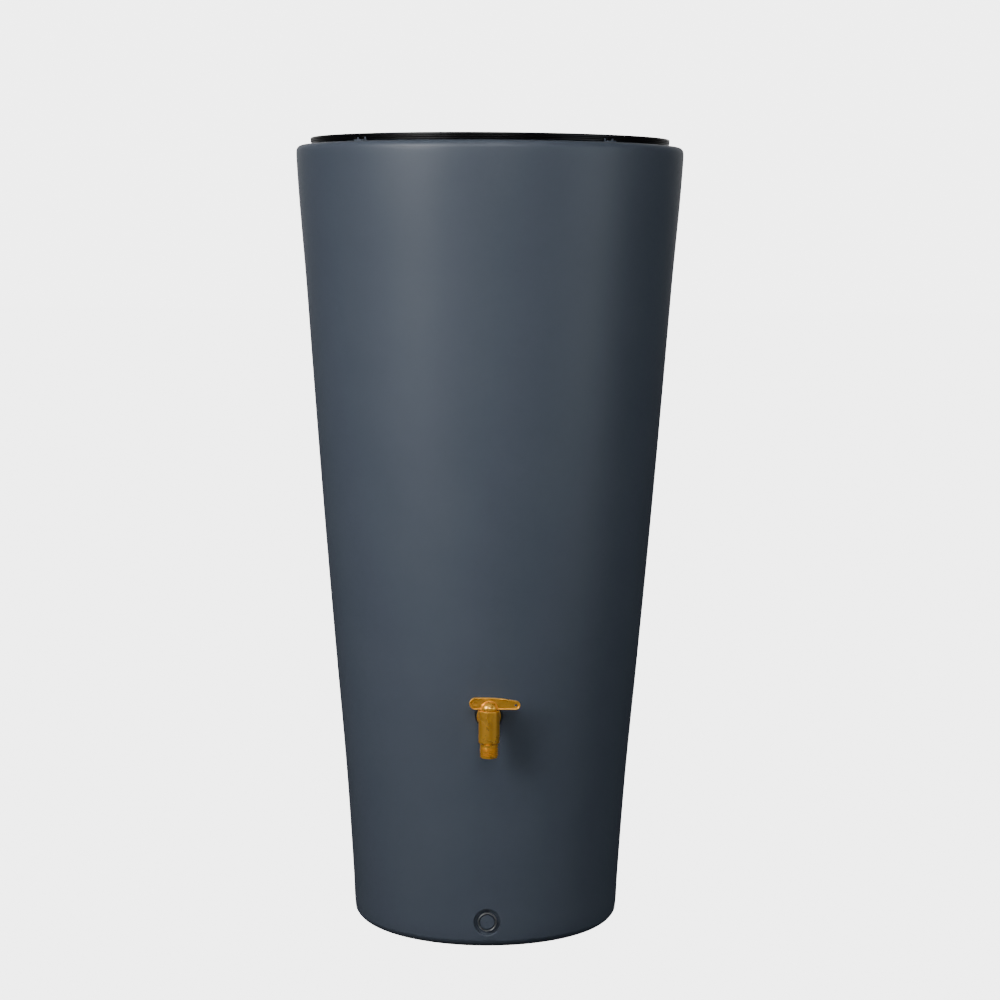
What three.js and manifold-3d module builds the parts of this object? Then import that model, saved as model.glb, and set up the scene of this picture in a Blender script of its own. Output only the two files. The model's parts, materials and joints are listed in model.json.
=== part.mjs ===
// Tapered rain barrel with a lift-out planter bowl, a quarter-turn tap, a drain port and a rain inlet.
// Millimetres, +Z up. The origin is the centre of the footprint; the tap faces -Y, the inlet +Y.
import * as THREE from 'three';
import { mergeVertices } from 'three/addons/utils/BufferGeometryUtils.js';
import Module from 'manifold-3d';

const wasm = await Module();
wasm.setup();

// ---- driving dimensions ----------------------------------------------------------------------
const GAP = 0.3; // between pieces that touch
const OVERCUT = 5; // how far a cutter runs past the surface it cuts

const WALL = 5; // moulded wall of the shell
const SIDE_RADII = [202.6, 214.0, 230.8, 247.2, 262.1, 276.3, 291.1]; // at equal steps of height
const SIDE_FOOT = 20; // height where the side starts
const SIDE_TOP = 1169.5; // height where the side ends
const BASE_RAISE = 8; // the middle of the base stands this far off the ground
const BASE_RING_INNER = 150; // inner radius of the ring that the barrel stands on
const SHOULDER_FILLET = 9.5;
const NECK_RADIUS = 258.5; // the hole that the bowl hangs in
const NECK_DEPTH = 22;
const NECK_ROUND = 4;
const SHOULDER_TOP = 1180.6; // height of the shoulder beside the neck

const BOWL_WALL = 3.5;
const BOWL_TOP = 1191;
const BOWL_DEPTH = 165;
const BOWL_FLOOR_RADIUS = 203;
const RIM_RADIUS = 269.5; // outside of the bowl's rim
const CREST_RADIUS = 254; // where the rim is highest
const DRAIN_HOLE_RADIUS = 5;
const DRAIN_HOLE_CIRCLE = 120;
const DRAIN_HOLES = 4;

const CATCH_ANGLES = [-43.7, 38.0, 136.3, 218.0]; // from the tap, anticlockwise seen from above
const CATCH_SPACING = 14.2; // between the two prongs of a catch
const PRONG = { width: 3, depth: 3, top: 1184.6 };
const CATCH_PAD = { width: 17, inner: 270, outer: 276, top: 1181.2 };

const TAP_PORT_HEIGHT = 354.5;
const DRAIN_PORT_HEIGHT = 40.6;
const INLET_PORT_HEIGHT = 950;
const POCKET_RADIUS = 20;
const POCKET_DEPTH = 6.5;
const BOSS_RADIUS = 27; // thickening behind a port
const BOSS_DEPTH = 20;
const INSERT_RADIUS = 15.6;
const INSERT_LIP_RADIUS = 14; // the ring that shows in the pocket
const INSERT_COVER = 1.2; // plastic over the insert's shoulder
const INSERT_BORE = 12.1;

const TAP_AXIS_OUT = 267; // from the barrel's axis to the tap's
const TAP_TOP = 370.5;
const TAP_RADIUS = 15.2;
const TAP_STEP = 322.2; // where the body steps in to the outlet
const OUTLET_END = 301.8;
const OUTLET_BORE = 9.5;
const THREAD = { crest: 13.3, root: 12.2, pitch: 2.9, turns: 5 };
const CHAMBER = { radius: 11.6, floor: 326 };
const BONNET_SEAT = { radius: 12.9, floor: 366 };
const TAIL_BORE = 8;
const TAIL_RADIUS = 11.8;
const COLLAR_RADIUS = 17.4;
const COLLAR_THICKNESS = 7.2;

const STEM_RADIUS = 5;
const CORE_RADIUS = 11.2;
const CORE_PORT = 6.5;
const TANG = { side: 6.6, top: 378 };
const RING_SECTION = 0.9; // radius of an O-ring's cord

const HANDLE_BASE = 371.6;
const HANDLE_THICKNESS = 6;
const HANDLE_RIM = 2.3; // width of the raised edge round the lever
const HANDLE_RECESS = 1.7; // how deep the lever's faces lie inside that edge
const SHORT_END = { along: -20, radius: 8.8 };
const LONG_END = { along: 38, radius: 6.6 };
const HUB = { radius: 12.6, height: 12.2 };
const CORD_HOLE_RADIUS = 1.75;
const DIMPLE = { radius: 3, depth: 0.5 };

const SHELL_SEGMENTS = 56;
const TAP_SEGMENTS = 28;
const SMALL_SEGMENTS = 24;
const RING_FACES = 6; // round an O-ring's cord
const SIDE_STEPS = 9;

// ---- finishes --------------------------------------------------------------------------------
const FINISHES = {
  shell: { color: 0x4b535e, roughness: 0.5, metalness: 0 },
  bowl: { color: 0x111216, roughness: 0.35, metalness: 0 },
  tap: { color: 0xb7812b, roughness: 0.3, metalness: 0.8 },
  insert: { color: 0xb9b4a6, roughness: 0.25, metalness: 1 },
  rubber: { color: 0x0c0c0d, roughness: 0.8, metalness: 0 },
  core: { color: 0xe4e0d4, roughness: 0.45, metalness: 0 },
};

const barrel = new THREE.Group();

function addPiece(name, finish, geometry) {
  const mesh = new THREE.Mesh(geometry, new THREE.MeshStandardMaterial(FINISHES[finish]));
  mesh.name = name;
  barrel.add(mesh);
}

// ---- shapes ----------------------------------------------------------------------------------
// A closed solid that can be joined and cut.
function toSolid(geometry) {
  const bare = geometry.clone();
  bare.deleteAttribute('normal');
  bare.deleteAttribute('uv');
  const merged = mergeVertices(bare);
  const corners = merged.index.array;
  const triangles = [];
  for (let i = 0; i < corners.length; i += 3) {
    const [a, b, c] = corners.slice(i, i + 3);
    if (a !== b && b !== c && c !== a) triangles.push(a, b, c);
  }
  const mesh = new wasm.Mesh({
    numProp: 3,
    vertProperties: merged.attributes.position.array,
    triVerts: Uint32Array.from(triangles),
  });
  return new wasm.Manifold(mesh);
}

function toGeometry(solid) {
  const mesh = solid.getMesh();
  const geometry = new THREE.BufferGeometry();
  geometry.setAttribute('position', new THREE.BufferAttribute(mesh.vertProperties, 3));
  geometry.setIndex(new THREE.BufferAttribute(mesh.triVerts, 1));
  geometry.computeVertexNormals();
  return geometry;
}

function joined(...geometries) {
  const [first, ...rest] = geometries.map(toSolid);
  return toGeometry(rest.reduce((whole, piece) => whole.add(piece), first));
}

function cut(geometry, ...cutters) {
  const solids = cutters.map(toSolid);
  return toGeometry(solids.reduce((whole, cutter) => whole.subtract(cutter), toSolid(geometry)));
}

function common(a, b) {
  return toGeometry(toSolid(a).intersect(toSolid(b)));
}

// Points [radius, height] turned about the Z axis. They run anticlockwise, with the axis on the left.
function turned(points, segments) {
  const profile = points.map(([radius, height]) => new THREE.Vector2(radius, height));
  return new THREE.LatheGeometry(profile, segments).rotateX(Math.PI / 2);
}

function turnedRing(inner, outer, low, high, segments) {
  return turned([[inner, low], [outer, low], [outer, high], [inner, high], [inner, low]], segments);
}

function turnedPlug(radius, low, high, segments) {
  return turned([[0, low], [radius, low], [radius, high], [0, high]], segments);
}

function arc(centre, radius, from, to, steps) {
  const points = [];
  for (let i = 0; i <= steps; i += 1) {
    const angle = THREE.MathUtils.degToRad(from + ((to - from) * i) / steps);
    points.push([centre[0] + radius * Math.cos(angle), centre[1] + radius * Math.sin(angle)]);
  }
  return points;
}

function box(width, depth, height) {
  return new THREE.BoxGeometry(width, depth, height);
}

function oRing(radius, height) {
  return turned(arc([radius, height], RING_SECTION, 0, 360, RING_FACES), SMALL_SEGMENTS);
}

// ---- the shell's side ------------------------------------------------------------------------
const side = new THREE.SplineCurve(
  SIDE_RADII.map((radius, i) => {
    const step = (SIDE_TOP - SIDE_FOOT) / (SIDE_RADII.length - 1);
    return new THREE.Vector2(radius, SIDE_FOOT + i * step);
  }),
);
const sidePoints = side.getPoints(SIDE_STEPS).map((point) => [point.x, point.y]);

function sideRadius(height) {
  return side.getPoint((height - SIDE_FOOT) / (SIDE_TOP - SIDE_FOOT)).x;
}

function outerProfile() {
  const foot = [SIDE_RADII[0] - SIDE_FOOT, SIDE_FOOT];
  const shoulder = [SIDE_RADII.at(-1) - SHOULDER_FILLET, SIDE_TOP];
  return [
    [0, BASE_RAISE],
    [BASE_RING_INNER - 15, BASE_RAISE],
    [BASE_RING_INNER, 0],
    ...arc(foot, SIDE_FOOT, -90, -15, 4),
    ...sidePoints,
    ...arc(shoulder, SHOULDER_FILLET, 20, 85, 4),
    ...arc([NECK_RADIUS + NECK_ROUND, SHOULDER_TOP - NECK_ROUND], NECK_ROUND, 90, 180, 3),
  ];
}

function innerProfile() {
  const foot = [SIDE_RADII[0] - SIDE_FOOT, SIDE_FOOT];
  const underShoulder = SHOULDER_TOP - WALL;
  return [
    [NECK_RADIUS, SHOULDER_TOP - NECK_DEPTH],
    [NECK_RADIUS + WALL, SHOULDER_TOP - NECK_DEPTH],
    [NECK_RADIUS + WALL, underShoulder],
    [SIDE_RADII.at(-1) - SHOULDER_FILLET, underShoulder - 1.6],
    ...sidePoints.toReversed().map(([radius, height]) => [radius - WALL, height]),
    ...arc(foot, SIDE_FOOT - WALL, -30, -90, 3),
    [BASE_RING_INNER + 2, WALL],
    [BASE_RING_INNER - 13, BASE_RAISE + WALL],
    [0, BASE_RAISE + WALL],
  ];
}

// ---- ports -----------------------------------------------------------------------------------
// A port's pieces are turned with height 0 on the shell's outside, then laid over to face out of it.
function atPort(geometry, height, facing = -1) {
  return geometry.rotateX((-facing * Math.PI) / 2).translate(0, facing * sideRadius(height), height);
}

function portBoss() {
  return turnedPlug(BOSS_RADIUS, -BOSS_DEPTH, OVERCUT, SMALL_SEGMENTS);
}

function portCutter() {
  return joined(
    turnedPlug(POCKET_RADIUS, -POCKET_DEPTH, 2 * OVERCUT, 2 * SMALL_SEGMENTS),
    turnedPlug(INSERT_LIP_RADIUS + GAP, -POCKET_DEPTH - 2 * INSERT_COVER, 0, SMALL_SEGMENTS),
    turnedPlug(
      INSERT_RADIUS + GAP,
      -BOSS_DEPTH - OVERCUT,
      -POCKET_DEPTH - INSERT_COVER,
      SMALL_SEGMENTS,
    ),
  );
}

function threadedInsert() {
  const lip = POCKET_DEPTH - 0.2;
  return turned([
    [INSERT_BORE, -BOSS_DEPTH + 1],
    [INSERT_RADIUS, -BOSS_DEPTH + 1],
    [INSERT_RADIUS, -POCKET_DEPTH - INSERT_COVER - GAP],
    [INSERT_LIP_RADIUS, -POCKET_DEPTH - INSERT_COVER - GAP],
    ...arc([(INSERT_BORE + INSERT_LIP_RADIUS) / 2, lip - POCKET_DEPTH - 0.95], 0.95, 0, 180, 4),
    [INSERT_BORE, -BOSS_DEPTH + 1],
  ], SMALL_SEGMENTS);
}

const PLUG = { radius: 11.7, face: 10.4, back: -15, shoulder: -3.6, front: -1.5, hollow: 7.5 };
const PLUG_RING = { radius: 10.9, height: -10, groove: 9.7, halfWidth: 1.25 };

function portPlug() {
  const { radius, face, back, shoulder, front, hollow } = PLUG;
  return turned([
    [hollow, back],
    [radius, back],
    [radius, PLUG_RING.height - PLUG_RING.halfWidth],
    [PLUG_RING.groove, PLUG_RING.height - PLUG_RING.halfWidth],
    [PLUG_RING.groove, PLUG_RING.height + PLUG_RING.halfWidth],
    [radius, PLUG_RING.height + PLUG_RING.halfWidth],
    [radius, shoulder],
    [face, shoulder],
    [face, front - 0.6],
    [face - 0.6, front],
    [1.3, front],
    [0, front - 0.5],
    [0, shoulder - 2],
    [hollow, shoulder - 3],
    [hollow, back],
  ], SMALL_SEGMENTS);
}

// ---- shell -----------------------------------------------------------------------------------
// Something on the rim circle, made beside the front of the barrel and swung round to its catch.
function atCatch(geometry, angle) {
  return geometry.rotateZ(THREE.MathUtils.degToRad(angle));
}

function prongOffsets() {
  return [-CATCH_SPACING / 2, CATCH_SPACING / 2];
}

function catchPieces(angle) {
  const foot = SHOULDER_TOP - WALL + 1;
  const padHeight = CATCH_PAD.top - foot;
  const pad = box(CATCH_PAD.width, CATCH_PAD.outer - CATCH_PAD.inner, padHeight)
    .translate(0, -(CATCH_PAD.inner + CATCH_PAD.outer) / 2, foot + padHeight / 2);
  const prongHeight = PRONG.top - foot;
  const prongs = prongOffsets().map((x) => box(PRONG.width, PRONG.depth, prongHeight)
    .translate(x, -(RIM_RADIUS - BOWL_WALL / 2), foot + prongHeight / 2));
  return [pad, ...prongs].map((piece) => atCatch(piece, angle));
}

function makeShell() {
  const outside = turned([...outerProfile(), [0, SHOULDER_TOP - NECK_ROUND]], SHELL_SEGMENTS);
  const skin = turned([...outerProfile(), ...innerProfile()], SHELL_SEGMENTS);
  const ports = [[TAP_PORT_HEIGHT, -1], [DRAIN_PORT_HEIGHT, -1], [INLET_PORT_HEIGHT, 1]];
  const bosses = ports.map(([height, facing]) => common(atPort(portBoss(), height, facing), outside));
  const cutters = ports.map(([height, facing]) => atPort(portCutter(), height, facing));
  const whole = joined(skin, ...bosses, ...CATCH_ANGLES.flatMap(catchPieces));
  addPiece('barrel_shell', 'shell', cut(whole, ...cutters));
}

function makePort(name, height, facing) {
  addPiece(`${name}_insert`, 'insert', atPort(threadedInsert(), height, facing));
}

function makePlug(name, height, facing) {
  addPiece(`${name}_plug`, 'shell', atPort(portPlug(), height, facing));
  addPiece(`${name}_plug_seal`, 'rubber', atPort(oRing(PLUG_RING.radius, PLUG_RING.height), height, facing));
}

// ---- planter bowl ----------------------------------------------------------------------------
function bowlProfile() {
  const floor = BOWL_TOP - BOWL_DEPTH;
  const foot = SHOULDER_TOP + GAP;
  const wallTop = 248.5;
  const round = 12;
  return [
    [0, floor - BOWL_WALL],
    ...arc([BOWL_FLOOR_RADIUS - round, floor - BOWL_WALL + round], round, -90, -15, 3),
    [wallTop + BOWL_WALL, BOWL_TOP - 2 * BOWL_WALL],
    [wallTop + 2 * BOWL_WALL, BOWL_TOP - BOWL_WALL],
    [RIM_RADIUS - 2 * BOWL_WALL, BOWL_TOP - BOWL_WALL - 1],
    [RIM_RADIUS - BOWL_WALL, BOWL_TOP - 2 * BOWL_WALL + 1],
    [RIM_RADIUS - BOWL_WALL, foot],
    [RIM_RADIUS - 0.9, foot],
    [RIM_RADIUS - 0.6, foot + 2.5],
    [RIM_RADIUS, foot + 3.4],
    [RIM_RADIUS, foot + 4.5],
    [RIM_RADIUS - 0.8, foot + 5.3],
    ...arc([RIM_RADIUS - 4, BOWL_TOP - 4.8], 4, 0, 85, 4),
    [CREST_RADIUS, BOWL_TOP],
    ...arc([wallTop + 5, BOWL_TOP - 5.2], 5, 100, 180, 3),
    ...arc([BOWL_FLOOR_RADIUS - BOWL_WALL - round, floor + round], round, -15, -90, 3),
    [0, floor],
  ];
}

function makeBowl() {
  const foot = SHOULDER_TOP + GAP;
  const notchTop = PRONG.top + 2 * GAP;
  const notchHeight = notchTop - foot + OVERCUT;
  const notches = CATCH_ANGLES.flatMap((angle) => prongOffsets().map((x) => atCatch(
    box(PRONG.width + 2 * GAP, 3 * BOWL_WALL, notchHeight)
      .translate(x, -RIM_RADIUS, notchTop - notchHeight / 2),
    angle,
  )));
  const holes = [];
  for (let i = 0; i < DRAIN_HOLES; i += 1) {
    const angle = ((i + 0.5) / DRAIN_HOLES) * 2 * Math.PI;
    const floor = BOWL_TOP - BOWL_DEPTH;
    holes.push(turnedPlug(DRAIN_HOLE_RADIUS, floor - BOWL_WALL - OVERCUT, floor + OVERCUT, 16)
      .translate(DRAIN_HOLE_CIRCLE * Math.cos(angle), DRAIN_HOLE_CIRCLE * Math.sin(angle), 0));
  }
  addPiece('planter_bowl', 'bowl', cut(turned(bowlProfile(), SHELL_SEGMENTS), ...notches, ...holes));
}

// ---- tap -------------------------------------------------------------------------------------
function atTap(geometry) {
  return geometry.translate(0, -TAP_AXIS_OUT, 0);
}

function threadProfile() {
  const points = [];
  for (let turn = 0; turn < THREAD.turns; turn += 1) {
    const base = OUTLET_END + 1 + turn * THREAD.pitch;
    points.push([THREAD.root, base]);
    points.push([THREAD.crest, base + THREAD.pitch * 0.35]);
    points.push([THREAD.crest, base + THREAD.pitch * 0.65]);
  }
  return points;
}

function makeTapBody() {
  const upright = atTap(turned([
    [OUTLET_BORE, OUTLET_END],
    [THREAD.root, OUTLET_END],
    ...threadProfile(),
    [THREAD.root + 0.6, OUTLET_END + 1 + THREAD.turns * THREAD.pitch],
    [THREAD.root + 0.6, TAP_STEP],
    [TAP_RADIUS, TAP_STEP + 2.2],
    [TAP_RADIUS, TAP_TOP - 2.6],
    [TAP_RADIUS - 0.6, TAP_TOP - 0.9],
    [TAP_RADIUS - 1.7, TAP_TOP],
    [BONNET_SEAT.radius, TAP_TOP],
    [BONNET_SEAT.radius, BONNET_SEAT.floor],
    [CHAMBER.radius, BONNET_SEAT.floor],
    [CHAMBER.radius, CHAMBER.floor],
    [OUTLET_BORE, CHAMBER.floor - 1.5],
    [OUTLET_BORE, OUTLET_END],
  ], TAP_SEGMENTS));
  // The tail runs back from the upright, through the collar and gasket, into the shell's insert.
  const axisFromShell = TAP_AXIS_OUT - sideRadius(TAP_PORT_HEIGHT);
  const insideUpright = axisFromShell - CHAMBER.radius - 1;
  const neckStart = COLLAR_THICKNESS + 3 * GAP;
  const tail = atPort(turned([
    [TAIL_BORE, -POCKET_DEPTH - 9],
    [TAIL_RADIUS, -POCKET_DEPTH - 9],
    [TAIL_RADIUS, neckStart],
    [TAIL_RADIUS + 1, neckStart],
    [TAIL_RADIUS + 1, insideUpright],
    [TAIL_BORE, insideUpright],
    [TAIL_BORE, -POCKET_DEPTH - 9],
  ], TAP_SEGMENTS), TAP_PORT_HEIGHT);
  const chamber = atTap(turnedPlug(CHAMBER.radius, CHAMBER.floor, BONNET_SEAT.floor, TAP_SEGMENTS));
  const waterWay = atPort(
    turnedPlug(TAIL_BORE, -POCKET_DEPTH, axisFromShell - 2, TAP_SEGMENTS),
    TAP_PORT_HEIGHT,
  );
  addPiece('tap_body', 'tap', cut(joined(upright, tail), chamber, waterWay));
}

function makeTapFittings() {
  const gasket = turnedRing(
    INSERT_LIP_RADIUS + GAP,
    POCKET_RADIUS - 0.8,
    GAP - POCKET_DEPTH,
    GAP,
    SMALL_SEGMENTS,
  );
  addPiece('tap_gasket', 'rubber', atPort(gasket, TAP_PORT_HEIGHT));
  const front = 2 * GAP + COLLAR_THICKNESS;
  const collar = turned([
    [TAIL_RADIUS + 0.4, 2 * GAP],
    [COLLAR_RADIUS, 2 * GAP],
    [COLLAR_RADIUS, front - 1.5],
    [COLLAR_RADIUS - 1.5, front],
    [TAIL_RADIUS + 0.4, front],
    [TAIL_RADIUS + 0.4, 2 * GAP],
  ], TAP_SEGMENTS);
  addPiece('tap_collar', 'tap', atPort(collar, TAP_PORT_HEIGHT));
  const bonnet = turned([
    [STEM_RADIUS + 1.9, BONNET_SEAT.floor + 1.4],
    [BONNET_SEAT.radius - GAP, BONNET_SEAT.floor + 1.4],
    [BONNET_SEAT.radius - GAP, TAP_TOP],
    [BONNET_SEAT.radius - 1, TAP_TOP + 0.5],
    [STEM_RADIUS + GAP, TAP_TOP + 0.5],
    [STEM_RADIUS + GAP, TAP_TOP - 0.6],
    [STEM_RADIUS + 1.9, TAP_TOP - 0.6],
    [STEM_RADIUS + 1.9, BONNET_SEAT.floor + 1.4],
  ], SMALL_SEGMENTS);
  addPiece('tap_bonnet', 'tap', atTap(bonnet));
  const washerFoot = BONNET_SEAT.floor + 0.1;
  const washer = turnedRing(STEM_RADIUS + GAP, CORE_RADIUS, washerFoot, washerFoot + 1, SMALL_SEGMENTS);
  addPiece('bonnet_washer', 'core', atTap(washer));
  const stemRing = turned(
    arc([STEM_RADIUS + 1.05, BONNET_SEAT.floor + 2.6], 0.75, 0, 360, RING_FACES),
    SMALL_SEGMENTS,
  );
  addPiece('stem_o_ring', 'rubber', atTap(stemRing));
}

const CORE_RINGS = { lower: 342.2, upper: 363.4 };

function makeValveCore() {
  const groove = RING_SECTION + 0.35;
  const grooved = (height) => [
    [CORE_RADIUS, height - groove],
    [CORE_RADIUS - 2.1, height - groove],
    [CORE_RADIUS - 2.1, height + groove],
    [CORE_RADIUS, height + groove],
  ];
  const inner = 7.2;
  const shape = turned([
    [inner, CHAMBER.floor + GAP],
    [CORE_RADIUS, CHAMBER.floor + GAP],
    ...grooved(CORE_RINGS.lower),
    ...grooved(CORE_RINGS.upper),
    [CORE_RADIUS, BONNET_SEAT.floor - 0.2],
    [STEM_RADIUS, BONNET_SEAT.floor - 0.2],
    [STEM_RADIUS, HANDLE_BASE + GAP],
    [0, HANDLE_BASE + GAP],
    [0, CORE_RINGS.upper - 1],
    [inner, CORE_RINGS.upper - 3],
    [inner, CHAMBER.floor + GAP],
  ], TAP_SEGMENTS);
  const tangFoot = HANDLE_BASE - 1;
  const tang = box(TANG.side, TANG.side, TANG.top - tangFoot).translate(0, 0, (TANG.top + tangFoot) / 2);
  // Closed, the side port faces along the lever; a quarter turn brings it round to the tail.
  const port = turnedPlug(CORE_PORT, 1, CORE_RADIUS + OVERCUT, SMALL_SEGMENTS)
    .rotateY(-Math.PI / 2)
    .translate(0, 0, TAP_PORT_HEIGHT);
  addPiece('valve_core', 'core', atTap(cut(joined(shape, tang), port)));
  for (const [place, height] of Object.entries(CORE_RINGS)) {
    addPiece(`core_o_ring_${place}`, 'rubber', atTap(oRing(CORE_RADIUS - 0.95, height)));
  }
}

// The lever's outline drawn in X (along) and Y (up), inset from its edge.
function leverShape(inset) {
  const shortRadius = SHORT_END.radius - inset;
  const longRadius = LONG_END.radius - inset;
  const shape = new THREE.Shape();
  shape.moveTo(SHORT_END.along, inset);
  shape.lineTo(LONG_END.along, inset);
  shape.absarc(LONG_END.along, LONG_END.radius, longRadius, -Math.PI / 2, Math.PI * 0.47, false);
  shape.quadraticCurveTo(12, 2 * SHORT_END.radius - inset, -4, 2 * SHORT_END.radius - inset);
  shape.lineTo(SHORT_END.along, 2 * SHORT_END.radius - inset);
  shape.absarc(SHORT_END.along, SHORT_END.radius, shortRadius, Math.PI / 2, Math.PI * 1.5, false);
  return shape;
}

// A slab of that outline, standing up, between two places across the lever.
function leverSlab(inset, near, far) {
  const slab = new THREE.ExtrudeGeometry(leverShape(inset), {
    depth: far - near,
    bevelEnabled: false,
    curveSegments: 7,
  });
  return slab.rotateX(Math.PI / 2).translate(0, far, HANDLE_BASE);
}

function makeHandle() {
  const half = HANDLE_THICKNESS / 2;
  const web = half - HANDLE_RECESS;
  const plate = cut(
    leverSlab(0, -half, half),
    leverSlab(HANDLE_RIM, -half - OVERCUT, -web),
    leverSlab(HANDLE_RIM, web, half + OVERCUT),
  );
  const hub = turned([
    [0, 0],
    [HUB.radius, 0],
    [HUB.radius, 1.2],
    [HUB.radius * 0.93, HUB.height * 0.42],
    [HUB.radius * 0.72, HUB.height * 0.7],
    [HUB.radius * 0.38, HUB.height * 0.93],
    [0, HUB.height],
  ], TAP_SEGMENTS).translate(0, 0, HANDLE_BASE);
  const across = TANG.side + 2 * GAP;
  const socketTop = TANG.top + GAP;
  const socket = box(across, across, socketTop - HANDLE_BASE + OVERCUT)
    .translate(0, 0, (socketTop + HANDLE_BASE - OVERCUT) / 2);
  const stemRoom = turnedPlug(
    STEM_RADIUS + GAP,
    HANDLE_BASE - OVERCUT,
    HANDLE_BASE + 2 * GAP,
    SMALL_SEGMENTS,
  );
  const cordHole = turnedPlug(CORD_HOLE_RADIUS, -2 * OVERCUT, 2 * OVERCUT, 16)
    .rotateX(Math.PI / 2)
    .translate(LONG_END.along, 0, HANDLE_BASE + LONG_END.radius);
  const dimple = turnedPlug(DIMPLE.radius, 0, OVERCUT, 16)
    .rotateX(Math.PI / 2)
    .translate(SHORT_END.along, -web + DIMPLE.depth, HANDLE_BASE + SHORT_END.radius);
  const handle = cut(joined(plate, hub), socket, stemRoom, cordHole, dimple);
  addPiece('tap_handle', 'tap', atTap(handle));
}

// ---- the whole barrel ------------------------------------------------------------------------
makeShell();
makePort('tap', TAP_PORT_HEIGHT, -1);
makePort('drain', DRAIN_PORT_HEIGHT, -1);
makePort('inlet', INLET_PORT_HEIGHT, 1);
makePlug('drain', DRAIN_PORT_HEIGHT, -1);
makePlug('inlet', INLET_PORT_HEIGHT, 1);
makeBowl();
makeTapBody();
makeTapFittings();
makeValveCore();
makeHandle();

export default barrel;
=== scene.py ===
"""Tapered rain barrel with a planter bowl on top, a brass tap and two plugged ports.

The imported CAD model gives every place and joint. Metres, +Z up, the tap faces -Y.
"""
import json
import math

import bmesh
import bpy
from mathutils import Matrix, Vector


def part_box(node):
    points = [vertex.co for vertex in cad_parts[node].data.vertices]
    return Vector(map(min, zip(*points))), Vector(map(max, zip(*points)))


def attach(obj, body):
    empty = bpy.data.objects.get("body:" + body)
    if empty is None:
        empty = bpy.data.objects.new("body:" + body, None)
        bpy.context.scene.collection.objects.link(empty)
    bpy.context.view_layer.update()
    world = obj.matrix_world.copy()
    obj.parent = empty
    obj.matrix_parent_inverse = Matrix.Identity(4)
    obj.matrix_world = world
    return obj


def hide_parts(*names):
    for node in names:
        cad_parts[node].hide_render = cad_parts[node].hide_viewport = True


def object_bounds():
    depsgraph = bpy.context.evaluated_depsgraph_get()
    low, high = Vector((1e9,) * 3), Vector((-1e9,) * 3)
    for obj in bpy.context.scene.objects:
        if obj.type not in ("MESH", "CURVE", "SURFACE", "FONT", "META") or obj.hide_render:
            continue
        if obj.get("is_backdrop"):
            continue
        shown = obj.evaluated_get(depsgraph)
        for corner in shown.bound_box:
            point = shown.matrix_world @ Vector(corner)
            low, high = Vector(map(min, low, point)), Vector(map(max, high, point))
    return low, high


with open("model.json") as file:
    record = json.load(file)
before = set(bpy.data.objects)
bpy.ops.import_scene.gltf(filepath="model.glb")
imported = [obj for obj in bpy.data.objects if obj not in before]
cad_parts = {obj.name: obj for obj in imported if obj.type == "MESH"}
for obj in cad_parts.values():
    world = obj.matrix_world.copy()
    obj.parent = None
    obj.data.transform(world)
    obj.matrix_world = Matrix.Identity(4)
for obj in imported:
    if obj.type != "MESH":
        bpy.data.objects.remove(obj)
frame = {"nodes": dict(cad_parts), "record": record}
cad_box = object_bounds()

MM = 0.001
TURN = 2 * math.pi


# ---- places taken from the frame --------------------------------------------------------------
def centre_of(node):
    low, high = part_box(node)
    return (low + high) / 2


SHELL_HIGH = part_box("barrel_shell")[1]
BOWL_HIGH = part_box("planter_bowl")[1]
OUTLET_LOW, TAP_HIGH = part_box("tap_body")
TAP_CENTRE = centre_of("tap_bonnet")
HANDLE_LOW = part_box("tap_handle")[0]
PORTS = {
    "tap": (centre_of("tap_insert").z, -1),
    "drain": (centre_of("drain_insert").z, -1),
    "inlet": (centre_of("inlet_insert").z, 1),
}

# ---- the shell's own dimensions ----------------------------------------------------------------
WALL = 5 * MM
SIDE_RADII = [202.6 * MM, 214.0 * MM, 230.8 * MM, 247.2 * MM, 262.1 * MM, 276.3 * MM, 291.1 * MM]
SIDE_FOOT = 20 * MM
SIDE_TOP = 1169.5 * MM
FOOT_CENTRE = SIDE_RADII[0] - SIDE_FOOT
BASE_RAISE = 8 * MM
BASE_RING_INNER = 150 * MM
SHOULDER_FILLET = 9.5 * MM
NECK_RADIUS = 258.5 * MM
NECK_DEPTH = 22 * MM
NECK_ROUND = 4 * MM
SHOULDER_TOP = 1180.6 * MM
SHELL_COLUMNS = 80
SIDE_SHARES = (0.14, 0.2, 0.38, 0.5, 0.62, 0.72, 0.87, 0.94, 0.985)
PORT_REACH = {"tap": 32 * MM, "drain": 28 * MM, "inlet": 38 * MM}
PORT_CELLS = 4

POCKET_RADIUS = 20 * MM
POCKET_DEPTH = 6.5 * MM
BOSS_RADIUS = 25 * MM
BOSS_DEPTH = 20 * MM
INSERT_HOLE = 14.2 * MM
INSERT_BORE = 12.1 * MM
INSERT_RADIUS = 15.6 * MM
INSERT_LIP_RADIUS = 14 * MM
INSERT_COVER = 1.2 * MM

RIM_RADIUS = 269.5 * MM
CREST_RADIUS = 254 * MM
BOWL_WALL = 3.5 * MM
BOWL_DEPTH = 165 * MM
BOWL_FLOOR_RADIUS = 203 * MM
BOWL_HOLES = 4
BOWL_HOLE_RADIUS = 5 * MM
BOWL_HOLE_CIRCLE = 120 * MM
CATCH_ANGLES = (-43.7, 38.0, 136.3, 218.0)
CATCH_SPACING = 14.2 * MM

LEVER_HALF_THICKNESS = 3 * MM
LEVER_WEB = 1.1 * MM
CORD_HOLE_RADIUS = 1.75 * MM
SHORT_END = (-20 * MM, 8.8 * MM)
LONG_END = (38 * MM, 6.6 * MM)
THREAD = {"root": 12.3 * MM, "crest": 13.4 * MM, "pitch": 2.9 * MM, "turns": 4.8}


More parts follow.
